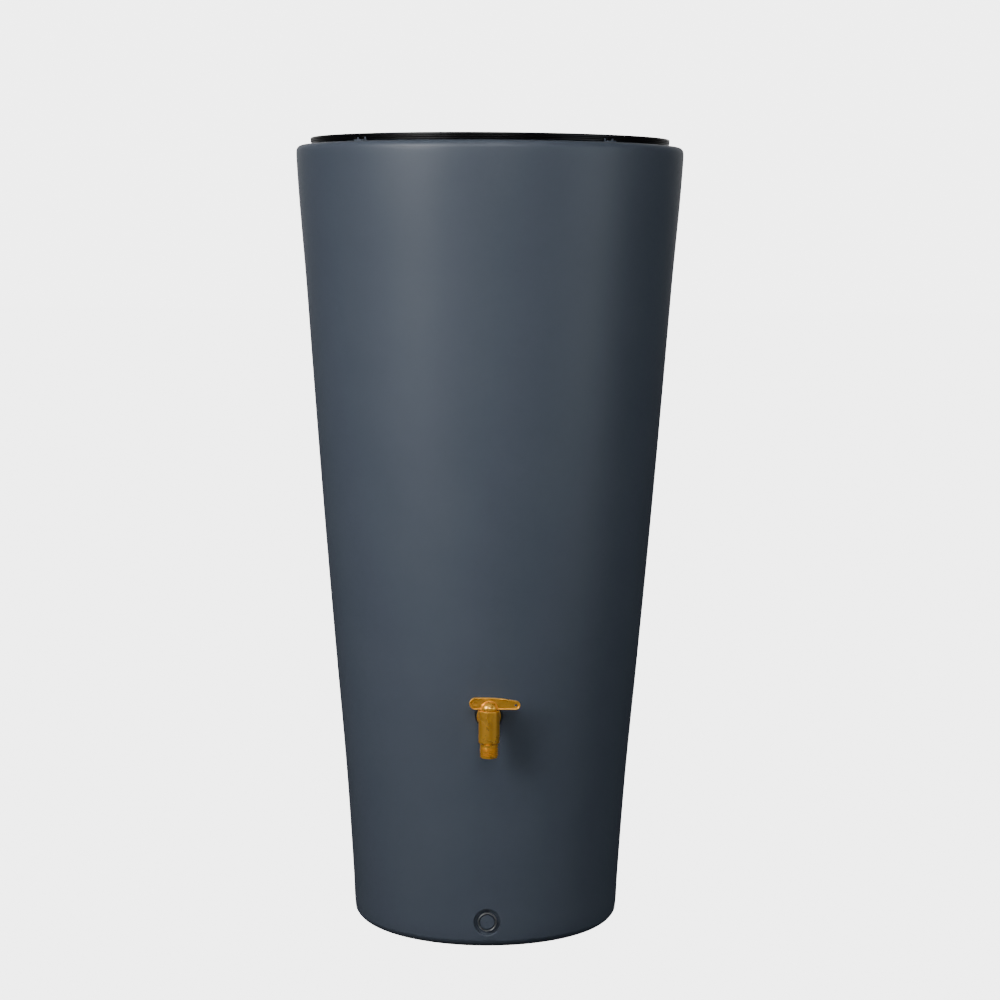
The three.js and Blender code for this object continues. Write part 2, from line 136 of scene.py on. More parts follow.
# ---- meshes ------------------------------------------------------------------------------------
def add_object(name, data):
    piece = bpy.data.objects.new(name, data)
    bpy.context.scene.collection.objects.link(piece)
    return piece


def piece_from(name, points, faces):
    mesh = bpy.data.meshes.new(name)
    mesh.from_pydata([tuple(point) for point in points], [], faces)
    mesh.validate()
    mesh.polygons.foreach_set("use_smooth", [True] * len(mesh.polygons))
    return add_object(name, mesh)


def bridge(chain):
    """Quads between each closed loop of point numbers in a chain and the next."""
    faces = []
    for first, second in zip(chain, chain[1:]):
        for k in range(len(first)):
            n = (k + 1) % len(first)
            faces.append((first[k], first[n], second[n], second[k]))
    return faces


def rounded(corners, closed=False):
    """An outline through corners (x, y, radius), each corner with a radius eased into an arc."""
    points = []
    count = len(corners)
    for i, (x, y, radius) in enumerate(corners):
        at = Vector((x, y))
        if radius <= 0 or (not closed and i in (0, count - 1)):
            points.append(at)
            continue
        before = Vector(corners[i - 1][:2]) - at
        after = Vector(corners[(i + 1) % count][:2]) - at
        half = before.angle(after) / 2
        reach = min(radius / math.tan(half), 0.49 * before.length, 0.49 * after.length)
        start = at + before.normalized() * reach
        end = at + after.normalized() * reach
        steps = 2 if math.degrees(half) > 70 else 5
        for k in range(steps + 1):
            t = k / steps
            points.append(start * (1 - t) ** 2 + at * 2 * t * (1 - t) + end * t ** 2)
    return [tuple(point) for point in points]


def scaled(corners, unit=MM):
    return [tuple(value * unit for value in corner) for corner in corners]


def add_screw(piece, steps):
    screw = piece.modifiers.new("turn", "SCREW")
    screw.angle = TURN
    screw.steps = steps
    screw.render_steps = steps
    screw.use_merge_vertices = True
    screw.merge_threshold = 1e-6
    screw.use_normal_calculate = True
    screw.use_smooth_shade = True
    return screw


def add_even_shading(piece):
    shading = piece.modifiers.new("even shading", "WEIGHTED_NORMAL")
    shading.mode = "FACE_AREA"
    shading.weight = 60
    return shading


def turned(name, outline, steps):
    """An outline of (radius, height) points, top to bottom on its outside, turned about Z."""
    mesh = bpy.data.meshes.new(name)
    points = [(radius, 0, height) for radius, height in outline]
    closed = outline[0][0] > 0 or outline[-1][0] > 0
    edges = [(i, i + 1) for i in range(len(points) - 1)]
    if closed:
        edges.append((len(points) - 1, 0))
    mesh.from_pydata(points, edges, [])
    piece = add_object(name, mesh)
    add_screw(piece, steps)
    add_even_shading(piece)
    return piece


def apply_stack(piece):
    """The piece's modifiers become its mesh."""
    bpy.context.view_layer.update()
    graph = bpy.context.evaluated_depsgraph_get()
    mesh = bpy.data.meshes.new_from_object(piece.evaluated_get(graph))
    piece.modifiers.clear()
    piece.data = mesh
    return piece


def place(piece, matrix):
    piece.data.transform(matrix)
    piece.data.update()
    return piece


def join_into(piece, other):
    """Adds the other piece's mesh to this one's and removes it."""
    work = bmesh.new()
    work.from_mesh(piece.data)
    work.from_mesh(other.data)
    work.to_mesh(piece.data)
    work.free()
    bpy.data.objects.remove(other)
    return piece


def face_outward(piece):
    work = bmesh.new()
    work.from_mesh(piece.data)
    bmesh.ops.recalc_face_normals(work, faces=work.faces)
    work.to_mesh(piece.data)
    work.free()
    return piece


def cut_with(piece, cutter, operation="DIFFERENCE"):
    face_outward(cutter)
    boolean = piece.modifiers.new("cut", "BOOLEAN")
    boolean.operation = operation
    boolean.solver = "EXACT"
    boolean.object = cutter
    apply_stack(piece)
    bpy.data.objects.remove(cutter)
    return piece


def block(name, low, high, bevel):
    """A box between two corners with its edges rounded."""
    work = bmesh.new()
    bmesh.ops.create_cube(work, size=1)
    size = Vector(high) - Vector(low)
    middle = (Vector(high) + Vector(low)) / 2
    spread = Matrix.Translation(middle) @ Matrix.Diagonal(size).to_4x4()
    bmesh.ops.transform(work, verts=work.verts, matrix=spread)
    bmesh.ops.bevel(
        work, geom=work.edges[:], offset=bevel, segments=3, profile=0.6, affect="EDGES"
    )
    mesh = bpy.data.meshes.new(name)
    work.to_mesh(mesh)
    work.free()
    mesh.polygons.foreach_set("use_smooth", [True] * len(mesh.polygons))
    return add_object(name, mesh)


def sharpen(piece, degrees):
    """Edges sharper than this stay crisp."""
    piece.data.set_sharp_from_angle(angle=math.radians(degrees))
    return piece


def fit_out(piece, body, slot, material, *nodes):
    """Gives a piece its body and its finish, and hides the CAD nodes it replaces; its slot is not used.
    """
    piece.data.materials.clear()
    piece.data.materials.append(material)
    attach(piece, body)
    if nodes:
        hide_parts(*nodes)
    return piece


# ---- the shell's surface -----------------------------------------------------------------------
def side_radius(height):
    """Outside radius of the shell at a height, foot fillet included."""
    if height < SIDE_FOOT:
        drop = SIDE_FOOT - max(height, 0)
        return FOOT_CENTRE + math.sqrt(SIDE_FOOT ** 2 - drop ** 2)
    last = len(SIDE_RADII) - 1
    along = min((height - SIDE_FOOT) / (SIDE_TOP - SIDE_FOOT), 1) * last
    i = min(int(along), last - 1)
    t = along - i
    a, b, c, d = (SIDE_RADII[min(max(k, 0), last)] for k in (i - 1, i, i + 1, i + 2))
    v0 = (c - a) / 2
    v1 = (d - b) / 2
    return (2 * b - 2 * c + v0 + v1) * t ** 3 + (3 * c - 3 * b - 2 * v0 - v1) * t ** 2 + v0 * t + b


def side_levels():
    """Heights of the cage's rows up the side, with a square block of cells round each port."""
    levels = []
    for name, (height, _facing) in PORTS.items():
        reach = PORT_REACH[name]
        for k in range(PORT_CELLS + 1):
            levels.append(height + reach * (2 * k / PORT_CELLS - 1))
    for share in SIDE_SHARES:
        levels.append(SIDE_FOOT + share * (SIDE_TOP - SIDE_FOOT))
    levels.append(SIDE_TOP)
    return sorted(levels)


def arc_points(centre, radius, start, end, steps):
    angles = [math.radians(start + (end - start) * k / steps) for k in range(steps + 1)]
    return [(centre[0] + radius * math.cos(a), centre[1] + radius * math.sin(a)) for a in angles]


def shell_rows():
    """Rows (radius, height) from the middle of the base, up the side, over the neck and down inside."""
    levels = side_levels()
    foot_radius = SIDE_FOOT + 0.2 * MM
    foot = arc_points((FOOT_CENTRE, foot_radius), foot_radius, -90, -24, 5)
    outside = [(side_radius(height), height) for height in levels]
    fillet = arc_points((SIDE_RADII[-1] - SHOULDER_FILLET, SIDE_TOP), SHOULDER_FILLET, 24, 85, 3)
    neck_centre = (NECK_RADIUS + NECK_ROUND, SHOULDER_TOP - NECK_ROUND)
    neck = arc_points(neck_centre, NECK_ROUND, 90, 180, 3)
    neck_end = SHOULDER_TOP - NECK_DEPTH
    under = SHOULDER_TOP - WALL
    base = [
        (40 * MM, BASE_RAISE),
        (BASE_RING_INNER - 22 * MM, BASE_RAISE),
        (BASE_RING_INNER - 14 * MM, BASE_RAISE - 1 * MM),
        (BASE_RING_INNER - 4 * MM, 1 * MM),
        (BASE_RING_INNER + 3 * MM, 0),
    ]
    turn_in = [
        (NECK_RADIUS, neck_end + 2 * MM),
        (NECK_RADIUS + 1 * MM, neck_end),
        (NECK_RADIUS + WALL - 1 * MM, neck_end),
        (NECK_RADIUS + WALL, neck_end + 2 * MM),
        (NECK_RADIUS + WALL, under - 3 * MM),
        (NECK_RADIUS + WALL + 2 * MM, under - 0.6 * MM),
        (SIDE_RADII[-1] - SHOULDER_FILLET - 1 * MM, under - 1.6 * MM),
        (SIDE_RADII[-1] - WALL - 1.5 * MM, SIDE_TOP + 2.5 * MM),
    ]
    inside = [(radius - WALL, height) for radius, height in reversed(outside)]
    floor = [
        (FOOT_CENTRE + 6 * MM, WALL + 1.5 * MM),
        (FOOT_CENTRE - 8 * MM, WALL),
        (BASE_RING_INNER + 4 * MM, WALL),
        (BASE_RING_INNER - 4 * MM, WALL + 1.5 * MM),
        (BASE_RING_INNER - 16 * MM, BASE_RAISE + WALL),
        (40 * MM, BASE_RAISE + WALL),
    ]
    return base + foot + outside + fillet + neck + turn_in + inside + floor


def port_rings(height, facing, angles):
    """Rings through the wall at a port: over the pocket's edge, down it and through the boss."""
    face = side_radius(height)

    def on_surface(radius, inward):
        ring = []
        for angle in angles:
            x = radius * math.cos(angle)
            z = height + radius * math.sin(angle)
            out = math.sqrt((side_radius(z) - inward) ** 2 - x ** 2)
            ring.append((x, facing * out, z))
        return ring

    def flat(radius, depth):
        out = facing * (face - depth)
        return [(radius * math.cos(a), out, height + radius * math.sin(a)) for a in angles]

    pocket = POCKET_RADIUS
    return [
        on_surface(pocket + 2.4 * MM, 0),
        on_surface(pocket + 0.9 * MM, 0),
        on_surface(pocket + 0.2 * MM, 0.35 * MM),
        on_surface(pocket - 0.05 * MM, 1.3 * MM),
        flat(pocket - 0.1 * MM, POCKET_DEPTH - 0.5 * MM),
        flat(pocket - 0.6 * MM, POCKET_DEPTH),
        flat(INSERT_HOLE + 1 * MM, POCKET_DEPTH),
        flat(INSERT_HOLE, POCKET_DEPTH),
        flat(INSERT_HOLE, POCKET_DEPTH + 0.3 * MM),
        flat(INSERT_HOLE, POCKET_DEPTH + 1.1 * MM),
        flat(INSERT_HOLE + 1.7 * MM, POCKET_DEPTH + 1.2 * MM),
        flat(INSERT_HOLE + 1.7 * MM, POCKET_DEPTH + 2 * MM),
        flat(INSERT_HOLE + 1.7 * MM, BOSS_DEPTH - 0.5 * MM),
        flat(INSERT_HOLE + 2.2 * MM, BOSS_DEPTH),
        flat(BOSS_RADIUS - 1 * MM, BOSS_DEPTH),
        flat(BOSS_RADIUS, BOSS_DEPTH - 1 * MM),
        flat(BOSS_RADIUS, WALL + 3.5 * MM),
        on_surface(BOSS_RADIUS + 1.4 * MM, WALL),
    ]


def block_rim(corner, bottom, step, middle):
    """The loop of corners round a port's square block of cells, from its lower left."""
    half = PORT_CELLS // 2
    top = bottom + step * PORT_CELLS
    rim = []
    for k in range(PORT_CELLS):
        rim.append(corner(bottom, middle - half + k))
    for k in range(PORT_CELLS):
        rim.append(corner(bottom + step * k, middle + half))
    for k in range(PORT_CELLS):
        rim.append(corner(top, middle + half - k))
    for k in range(PORT_CELLS):
        rim.append(corner(top - step * k, middle - half))
    return rim


def make_shell_cage():
    """Rows and columns round the whole shell, with each port's block of cells left out of both
    walls and joined through by its rings."""
    rows = shell_rows()
    columns = SHELL_COLUMNS
    points = []
    # A smoothed ring runs inside its cage, so the cage is this much wider than the real wall.
    swell = 3 / (2 + math.cos(TURN / columns))
    for radius, height in rows:
        radius *= swell
        for column in range(columns):
            angle = TURN * column / columns
            points.append((radius * math.sin(angle), -radius * math.cos(angle), height))

    def corner(row, column):
        return row * columns + column % columns

    levels = side_levels()
    outside_start = next(i for i, row in enumerate(rows) if row[1] == levels[0])
    inside_end = max(i for i, row in enumerate(rows) if row[1] == levels[0])
    removed = set()
    faces = []
    for name, (height, facing) in PORTS.items():
        low = min(range(len(levels)), key=lambda k: abs(levels[k] - (height - PORT_REACH[name])))
        middle = 0 if facing < 0 else columns // 2
        half = PORT_CELLS // 2
        loops = []
        for inner in (False, True):
            first = inside_end - low - PORT_CELLS if inner else outside_start + low
            for row in range(first, first + PORT_CELLS):
                for column in range(middle - half, middle + half):
                    removed.add((row, column % columns))
            bottom = first + PORT_CELLS if inner else first
            loops.append(block_rim(corner, bottom, -1 if inner else 1, middle))
        around = len(loops[0])
        angles = [-0.75 * math.pi + TURN * k / around for k in range(around)]
        if facing > 0:
            angles = [math.pi - angle for angle in angles]
        chain = [loops[0]]
        for ring in port_rings(height, facing, angles):
            start = len(points)
            points.extend(ring)
            chain.append(list(range(start, start + around)))
        chain.append(loops[1])
        faces.extend(bridge(chain))
    for row in range(len(rows) - 1):
        for column in range(columns):
            if (row, column) not in removed:
                faces.append((
                    corner(row, column),
                    corner(row, column + 1),
                    corner(row + 1, column + 1),
                    corner(row + 1, column),
                ))
    faces.append(tuple(corner(0, column) for column in reversed(range(columns))))
    faces.append(tuple(corner(len(rows) - 1, column) for column in range(columns)))
    return points, faces


def make_shell():
    points, faces = make_shell_cage()
    shell = piece_from("shell", points, faces)
    face_outward(shell)
    smooth = shell.modifiers.new("smooth", "SUBSURF")
    smooth.levels = 2
    smooth.render_levels = 2
    return shell


# ---- catches on the shoulder -------------------------------------------------------------------
def make_catch(number, angle):
    """A raised pad with two prongs that stand up through the notches in the bowl's rim."""
    foot = SHOULDER_TOP - 4 * MM
    tip = SHELL_HIGH.z
    pad = block(
        f"rim_catch_{number}",
        (-8.5 * MM, -RIM_RADIUS - 6.5 * MM, foot),
        (8.5 * MM, -RIM_RADIUS - 0.5 * MM, SHOULDER_TOP + 0.6 * MM),
        1.2 * MM,
    )
    for side in (-0.5, 0.5):
        middle = side * CATCH_SPACING
        prong = block(
            "prong",
            (middle - 1.5 * MM, -RIM_RADIUS + 0.2 * MM, foot),
            (middle + 1.5 * MM, -RIM_RADIUS + 3.2 * MM, tip),
            0.6 * MM,
        )
        join_into(pad, prong)
    return place(pad, Matrix.Rotation(math.radians(angle), 4, "Z"))


# ---- planter bowl ------------------------------------------------------------------------------
def bowl_outline():
    top = BOWL_HIGH.z / MM
    floor = top - BOWL_DEPTH / MM
    wall = BOWL_WALL / MM
    rim = RIM_RADIUS / MM
    foot = SHOULDER_TOP / MM + 0.3
    low = BOWL_FLOOR_RADIUS / MM
    return rounded(scaled([
        (0, floor, 0),
        (low - wall, floor, 12),
        (248.5, top - 0.4, 5),
        (CREST_RADIUS / MM, top, 8),
        (rim, top - 0.9, 4),
        (rim, top - 4.5, 0.3),
        (rim - 0.9, top - 5, 0.4),
        (rim - 0.1, top - 5.6, 0.4),
        (rim - 0.1, foot + 3.2, 0.6),
        (rim - 0.9, foot + 2.2, 0.3),
        (rim - 0.9, foot, 0.4),
        (rim - wall, foot, 0.4),
        (rim - wall, top - 2 * wall + 0.6, 2),
        (rim - 2.4 * wall, top - wall - 0.8, 2),
        (252.8, top - wall - 1, 2),
        (low, floor - wall, 14),
        (0, floor - wall, 0),
    ]))


def make_bowl():
    bowl = turned("bowl", bowl_outline(), 192)
    apply_stack(bowl)
    notch_top = SHELL_HIGH.z + 0.6 * MM
    for angle in CATCH_ANGLES:
        turn = Matrix.Rotation(math.radians(angle), 4, "Z")
        for side in (-0.5, 0.5):
            middle = side * CATCH_SPACING
            notch = block(
                "notch",
                (middle - 1.9 * MM, -RIM_RADIUS - 4 * MM, notch_top - 12 * MM),
                (middle + 1.9 * MM, -RIM_RADIUS + 5 * MM, notch_top),
                0.5 * MM,
            )
            cut_with(bowl, place(notch, turn))
    above, below = 1.2, 0.9
    drill = [(0, above), (BOWL_HOLE_RADIUS, above), (BOWL_HOLE_RADIUS, below), (0, below)]
    for k in range(BOWL_HOLES):
        angle = TURN * (k + 0.5) / BOWL_HOLES
        hole = turned("hole", drill, 32)
        apply_stack(hole)
        x = BOWL_HOLE_CIRCLE * math.cos(angle)
        y = BOWL_HOLE_CIRCLE * math.sin(angle)
        place(hole, Matrix.Translation((x, y, 0)))
        cut_with(bowl, hole)
    sharpen(bowl, 50)
    add_even_shading(bowl)
    return bowl


# ---- ports -------------------------------------------------------------------------------------
def at_port(piece, name):
    """Lays a piece turned about Z over, so that it faces out of the port with height 0 on the wall."""
    height, facing = PORTS[name]
    apply_stack(piece)
    turn = Matrix.Rotation(-facing * math.pi / 2, 4, "X")
    return place(piece, Matrix.Translation((0, facing * side_radius(height), height)) @ turn)


def make_insert(name):
    """A threaded metal sleeve whose rolled lip shows as a bright ring in the port."""
    bore = INSERT_BORE / MM
    lip = INSERT_LIP_RADIUS / MM
    outer = INSERT_RADIUS / MM
    back = 1 - BOSS_DEPTH / MM
    shoulder = -(POCKET_DEPTH + INSERT_COVER) / MM - 0.4
    outline = rounded(scaled([
        (bore, -0.2, 0.9),
        (lip, -0.2, 0.9),
        (lip, shoulder, 0.3),
        (outer, shoulder, 0.3),
        (outer, back, 0.5),
        (bore, back, 0.5),
    ]), closed=True)
    return at_port(turned(f"{name}_insert_ring", outline, 96), name)


def make_plug(name):
    """A press-in plug: a flat face with an eased edge and a small moulding dimple in its middle."""
    outline = rounded(scaled([
        (0, -1.95, 0),
        (0.9, -1.85, 0.5),
        (1.5, -1.5, 0.4),
        (10.4, -1.5, 0.9),
        (10.4, -3.6, 0.3),
        (11.7, -3.6, 0.4),
        (11.7, -8.75, 0.3),
        (9.7, -8.75, 0.3),
        (9.7, -11.25, 0.3),
        (11.7, -11.25, 0.3),
        (11.7, -15, 0.6),
        (7.5, -15, 0.5),
        (7.5, -6.6, 1.5),
        (0, -5.6, 0),
    ]))
    return at_port(turned(f"{name}_plug_face", outline, 80), name)


# ---- tap ---------------------------------------------------------------------------------------
def at_tap(piece):
    apply_stack(piece)
    return place(piece, Matrix.Translation((TAP_CENTRE.x, TAP_CENTRE.y, 0)))


def thread_ridge(root, crest, pitch, turns, start):
    """A screw thread's ridge as a closed strip that winds up the outlet and fades out at both ends."""
    steps = 48
    total = int(steps * turns)
    points = []
    for k in range(total + 1):
        angle = TURN * k / steps
        fade = min(1, k / (0.35 * steps), (total - k) / (0.35 * steps))
        top = root + (crest - root) * max(fade, 0.02)
        middle = start + pitch * k / steps
        foot = root - 0.4 * MM
        for radius, lift in ((foot, -0.46), (top, -0.16), (top, 0.16), (foot, 0.46)):
            points.append((radius * math.cos(angle), radius * math.sin(angle), middle + lift * pitch))
    chain = [list(range(4 * k, 4 * k + 4)) for k in range(total + 1)]
    faces = bridge(chain) + [tuple(chain[0]), tuple(reversed(chain[-1]))]
    ridge = piece_from("ridge", points, faces)
    face_outward(ridge)
    return sharpen(ridge, 40)


def make_tap_body():
    end = OUTLET_LOW.z / MM
    step = end + 20.4
    top = TAP_HIGH.z / MM
    outline = rounded(scaled([
        (9.5, top - 4.5, 0.2),
        (12.9, top - 4.5, 0.2),
        (12.9, top, 0.3),
        (15.2, top, 2.6),
        (15.2, step + 2.2, 0.8),
        (13.1, step - 0.2, 0.5),
        (13.1, step - 4.2, 0.4),
        (12.3, step - 4.9, 0.3),
        (12.3, end + 0.8, 0.3),
        (11.6, end, 0.4),
        (9.5, end, 0.5),
    ]), closed=True)
    upright = at_tap(turned("tap", outline, 128))
    ridge = thread_ridge(**THREAD, start=OUTLET_LOW.z + 1.4 * MM)
    join_into(upright, place(ridge, Matrix.Translation((TAP_CENTRE.x, TAP_CENTRE.y, 0))))
    reach = (abs(TAP_CENTRE.y) - side_radius(PORTS["tap"][0])) / MM
    tail = rounded(scaled([
        (8, reach - 12.6, 0.2),
        (15, reach - 12.6, 0.2),
        (14.4, reach - 14.6, 3),
        (12.8, reach - 17.5, 4),
        (12.8, 8.1, 0.5),
        (11.8, 8.1, 0.2),
        (11.8, -14, 0.8),
        (8, -14, 0.6),
    ]), closed=True)
    join_into(upright, at_port(turned("tail", tail, 96), "tap"))
    return upright


def make_collar():
    outline = rounded(scaled([
        (12.2, 7.8, 0.3),
        (16.2, 7.8, 0.6),
        (17.4, 6.6, 0.6),
        (17.4, 1.4, 0.6),
        (16.6, 0.6, 0.4),
        (12.2, 0.6, 0.2),
    ]), closed=True)
    return at_port(turned("tap_collar_ring", outline, 112), "tap")


def make_gasket():
    outline = rounded(scaled([
        (14.3, 0.3, 0.2),
        (19.2, 0.3, 1.2),
        (19.2, -4.7, 0.5),
        (14.3, -4.7, 0.2),
    ]), closed=True)
    return at_port(turned("tap_gasket_ring", outline, 96), "tap")


def make_bonnet():
    top = TAP_HIGH.z / MM
    outline = rounded(scaled([
        (5.3, top + 0.5, 0.2),
        (11.8, top + 0.5, 0.5),
        (12.6, top - 0.3, 0.3),
        (12.6, top - 3.1, 0.3),
        (6.9, top - 3.1, 0.2),
        (6.9, top - 0.6, 0.1),
        (5.3, top - 0.6, 0.1),
    ]), closed=True)
    return at_tap(turned("tap_bonnet_ring", outline, 96))


def lever_loop(inset):
    """The lever's outline (along, up) at an inset from its edge, from the short end's foot."""
    short_at, short = SHORT_END
    long_at, long = LONG_END
    top = 2 * short - inset
    foot = [(short_at + (long_at - short_at) * k / 16, inset) for k in range(16)]
    nose = arc_points((long_at, long), long - inset, -90, 84, 12)
    end = Vector(nose[-1])
    start = Vector((-4 * MM, top))
    pull = Vector((14 * MM, top))
    back = []
    for k in range(1, 15):
        t = k / 14
        back.append(tuple(end * (1 - t) ** 2 + pull * 2 * t * (1 - t) + start * t ** 2))
    flat = [(start.x + (short_at - start.x) * k / 5, top) for k in range(1, 6)]
    heel = arc_points((short_at, short), short - inset, 90, 270, 14)[1:-1]
    return foot + nose + back + flat + heel


def make_lever_plate():
    """A standing plate with a rolled edge all round and a sunk web on both faces."""
    half = LEVER_HALF_THICKNESS
    rolled_edge = [(0.0, 0.0), (0.1, 0.5), (0.4, 0.86), (0.95, 1.0), (1.5, 0.9), (1.85, 0.62)]
    section = rolled_edge + [(2.0, 0.45), (2.3, LEVER_WEB / half)]
    front = [(inset * MM, -share * half) for inset, share in section]
    back = [(inset, -depth) for inset, depth in reversed(front[1:])]
    rings = [[(x, depth, z) for x, z in lever_loop(inset)] for inset, depth in back + front]
    count = len(rings[0])
    points = [point for ring in rings for point in ring]
    chain = [list(range(i * count, (i + 1) * count)) for i in range(len(rings))]
    faces = bridge(chain) + [tuple(chain[0]), tuple(reversed(chain[-1]))]
    plate = piece_from("lever", points, faces)
    face_outward(plate)
    return plate


def make_handle():
    plate = make_lever_plate()
    hub = turned("hub", rounded(scaled([
        (0, 12.2, 0),
        (5.6, 11.9, 6),
        (10.6, 8.4, 7),
        (12.6, 3.6, 5),
        (12.6, 0, 0.5),
        (0, 0, 0),
    ])), 96)
    apply_stack(hub)
    cut_with(plate, hub, "UNION")
    far = 10 * MM
    drill = [(0, far), (CORD_HOLE_RADIUS, far), (CORD_HOLE_RADIUS, -far), (0, -far)]
    cord_hole = turned("cord_hole", drill, 40)
    press = rounded(scaled([(0, 6, 0), (3, 6, 0), (3, 0.9, 0.5), (0, 0.7, 0)]))
    dimple = turned("dimple", press, 48)
    for tool, (along, up) in ((cord_hole, LONG_END), (dimple, SHORT_END)):
        apply_stack(tool)
        place(tool, Matrix.Translation((along, 0, up)) @ Matrix.Rotation(math.pi / 2, 4, "X"))
        cut_with(plate, tool)
    sharpen(plate, 38)
    place(plate, Matrix.Translation((TAP_CENTRE.x, TAP_CENTRE.y, HANDLE_LOW.z)))
    add_even_shading(plate)
    return plate


# ---- finishes ----------------------------------------------------------------------------------
def node_group(name, inputs, outputs):
    """An empty shader node group with its sockets: (socket name, kind, default)."""
    group = bpy.data.node_groups.new(name, "ShaderNodeTree")
    for socket_name, kind, value in inputs:
        socket = group.interface.new_socket(socket_name, in_out="INPUT", socket_type=kind)
        socket.default_value = value
    for socket_name, kind in outputs:
        group.interface.new_socket(socket_name, in_out="OUTPUT", socket_type=kind)
    return group, group.nodes.new("NodeGroupInput"), group.nodes.new("NodeGroupOutput")


def noise(nodes, scale, detail=4.0, roughness=0.55):
    texture = nodes.new("ShaderNodeTexNoise")
    texture.inputs["Scale"].default_value = scale
    texture.inputs["Detail"].default_value = detail
    texture.inputs["Roughness"].default_value = roughness
    return texture


def feed(links, socket, value):
    """Sets a socket to a number, or links another node's output into it."""
    if isinstance(value, (int, float)):
        socket.default_value = value
    else:
        links.new(value, socket)


def remap(nodes, links, source, from_low, from_high, low, high):
    ranged = nodes.new("ShaderNodeMapRange")
    feed(links, ranged.inputs["Value"], source)
    feed(links, ranged.inputs["From Min"], from_low)
    feed(links, ranged.inputs["From Max"], from_high)
    feed(links, ranged.inputs["To Min"], low)
    feed(links, ranged.inputs["To Max"], high)
    return ranged.outputs["Result"]


def math_node(nodes, links, operation, first, second):
    node = nodes.new("ShaderNodeMath")
    node.operation = operation
    feed(links, node.inputs[0], first)
    feed(links, node.inputs[1], second)
    return node.outputs[0]


def make_moulded_skin():
    """Moulded plastic: a fine pebbled skin, slow waves in the wall and faint cloudy patches."""
    group, given, made = node_group(
        "moulded skin",
        [
            ("Pebble Scale", "NodeSocketFloat", 900.0),
            ("Pebble", "NodeSocketFloat", 0.3),
            ("Wave", "NodeSocketFloat", 0.3),
            ("Low", "NodeSocketFloat", 0.4),
            ("High", "NodeSocketFloat", 0.5),
        ],
        [
            ("Height", "NodeSocketFloat"),
            ("Roughness", "NodeSocketFloat"),
            ("Cloud", "NodeSocketFloat"),
        ],
    )
    nodes, links = group.nodes, group.links
    place_on = nodes.new("ShaderNodeTexCoord").outputs["Object"]
    pebble = noise(nodes, 900, 2)
    links.new(place_on, pebble.inputs["Vector"])
    links.new(given.outputs["Pebble Scale"], pebble.inputs["Scale"])
    wave = noise(nodes, 5.5, 1.5)
    links.new(place_on, wave.inputs["Vector"])
    cloud = noise(nodes, 9, 5, 0.6)
    links.new(place_on, cloud.inputs["Vector"])
    speckle = noise(nodes, 260, 3, 0.7)
    links.new(place_on, speckle.inputs["Vector"])
    fine = math_node(nodes, links, "MULTIPLY", pebble.outputs["Fac"], given.outputs["Pebble"])
    slow = math_node(nodes, links, "MULTIPLY", wave.outputs["Fac"], given.outputs["Wave"])
    links.new(math_node(nodes, links, "ADD", fine, slow), made.inputs["Height"])
    patchy = math_node(nodes, links, "MULTIPLY", cloud.outputs["Fac"], speckle.outputs["Fac"])
    low, high = given.outputs["Low"], given.outputs["High"]
    links.new(remap(nodes, links, patchy, 0.12, 0.4, low, high), made.inputs["Roughness"])
    links.new(cloud.outputs["Fac"], made.inputs["Cloud"])
    return group


def make_handled_metal():
    """Polished metal that has been handled: hairlines, faint smears and a little tarnish in patches."""
    group, given, made = node_group(
        "handled metal",
        [
            ("Low", "NodeSocketFloat", 0.2),
            ("High", "NodeSocketFloat", 0.35),
            ("Hairlines", "NodeSocketFloat", 0.2),
        ],
        [
            ("Height", "NodeSocketFloat"),
            ("Roughness", "NodeSocketFloat"),
            ("Tarnish", "NodeSocketFloat"),
        ],
    )
    nodes, links = group.nodes, group.links
    place_on = nodes.new("ShaderNodeTexCoord").outputs["Object"]
    stretch = nodes.new("ShaderNodeMapping")
    stretch.inputs["Scale"].default_value = (1, 1, 14)
    links.new(place_on, stretch.inputs["Vector"])
    lines = noise(nodes, 420, 4, 0.7)
    links.new(stretch.outputs["Vector"], lines.inputs["Vector"])
    smear = noise(nodes, 60, 4, 0.6)
    links.new(place_on, smear.inputs["Vector"])
    tarnish = noise(nodes, 130, 6, 0.65)
    links.new(place_on, tarnish.inputs["Vector"])
    scratches = math_node(
        nodes, links, "MULTIPLY", lines.outputs["Fac"], given.outputs["Hairlines"]
    )
    links.new(scratches, made.inputs["Height"])
    low, high = given.outputs["Low"], given.outputs["High"]
    gloss = remap(nodes, links, smear.outputs["Fac"], 0.3, 0.7, low, high)
    links.new(gloss, made.inputs["Roughness"])
    patches = remap(nodes, links, tarnish.outputs["Fac"], 0.45, 0.75, 0, 1)
    links.new(patches, made.inputs["Tarnish"])
    return group


MOULDED_SKIN = make_moulded_skin()
HANDLED_METAL = make_handled_metal()


def surface(name, group, values, bump, depth):
    """A material with its shader, the effect group placed in it and a bump fed from the group."""
    material = bpy.data.materials.new(name)
    material.use_nodes = True
    nodes, links = material.node_tree.nodes, material.node_tree.links
    shader = nodes["Principled BSDF"]
    effect = nodes.new("ShaderNodeGroup")
    effect.node_tree = group
    for socket_name, value in values.items():
        effect.inputs[socket_name].default_value = value
    links.new(effect.outputs["Roughness"], shader.inputs["Roughness"])
    bumps = nodes.new("ShaderNodeBump")
    bumps.inputs["Strength"].default_value = bump
    bumps.inputs["Distance"].default_value = depth
    links.new(effect.outputs["Height"], bumps.inputs["Height"])
    links.new(bumps.outputs["Normal"], shader.inputs["Normal"])
    return material, shader, effect


